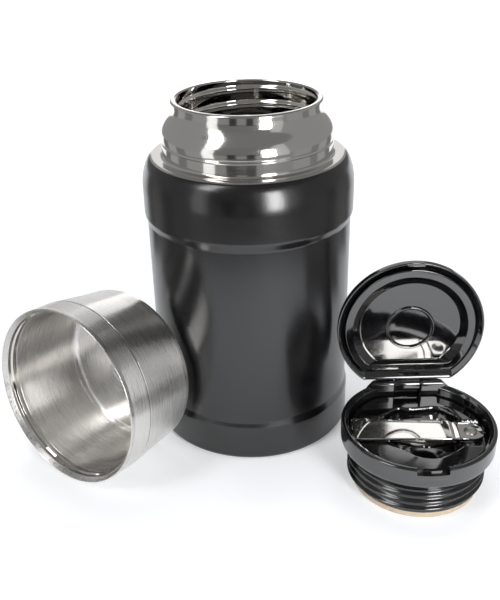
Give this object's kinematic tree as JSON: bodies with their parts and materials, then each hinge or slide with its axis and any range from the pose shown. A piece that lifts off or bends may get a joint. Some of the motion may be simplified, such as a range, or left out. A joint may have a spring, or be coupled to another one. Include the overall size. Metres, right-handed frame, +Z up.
{
  "type": "insulated food jar",
  "caption": "Double-walled steel food jar with its drinking cup lying beside it and a threaded stopper whose flip lid opens over a folding spork.",
  "frame": {"origin": "centre of the jar's flat underside, on the jar's axis, at table height", "axes": "+Z up along the jar's axis; +X towards the stopper's side, along the lid's hinge; -Y is the front, towards the cup's open mouth and the stopper"},
  "size_m": [0.2392, 0.1532, 0.1714],
  "materials": {
    "black_coat": "black satin powder coat",
    "polished_steel": "mirror-polished stainless steel",
    "brushed_steel": "stainless steel brushed round the axis",
    "plain_steel": "plain pressed steel",
    "solder_glass": "dull grey solder glass",
    "black_gloss": "gloss black polypropylene",
    "black_satin": "moulded black polypropylene",
    "foam": "closed-cell foam",
    "silicone": "beige silicone"
  },
  "bodies": {
    "jar": {"outer_shell": "black_coat", "shell_bottom": "plain_steel", "base_cap": "plain_steel", "seal_pellet": "solder_glass", "getter": "plain_steel", "inner_vessel": "polished_steel", "neck_collar": "polished_steel"},
    "cup": {"cup_shell": "brushed_steel", "cup_liner": "brushed_steel"},
    "stopper": {"bowl_shell": "black_gloss", "threaded_plug": "black_satin", "foam_disc": "foam", "seal_ring": "silicone", "utensil_tray": "black_satin", "hinge_pin": "plain_steel"},
    "lid": {"lid_cover": "black_gloss", "lid_liner": "black_gloss"},
    "spork": {"spork_handle": "polished_steel", "spork_rivet": "polished_steel", "spork_washer": "plain_steel"},
    "spork_head": {"spork_head": "polished_steel"}
  },
  "joints": [
    {"name": "cup_lift", "type": "slide", "parent": "jar", "child": "cup", "axis": [0, 0, 1], "range_m": [0, 0.12]},
    {"name": "stopper_lift", "type": "slide", "parent": "jar", "child": "stopper", "axis": [0.28, 0, 0.96], "range_m": [0, 0.15]},
    {"name": "lid_hinge", "type": "hinge", "parent": "stopper", "child": "lid", "pos_m": [0.0777, -0.0345, 0.0323], "axis": [1, 0, 0], "range_deg": [0, 91]},
    {"name": "spork_lift", "type": "slide", "parent": "stopper", "child": "spork", "axis": [0, 0, 1], "range_m": [0, 0.15]},
    {"name": "spork_fold", "type": "hinge", "parent": "spork", "child": "spork_head", "pos_m": [0.10215, -0.0677, 0.0259], "axis": [0, 0, 1], "range_deg": [0, 180.1]}
  ],
  "couplings": [
    {"joint": "spork_fold", "follows": "spork_lift", "rad_per_m": 20.944}
  ]
}
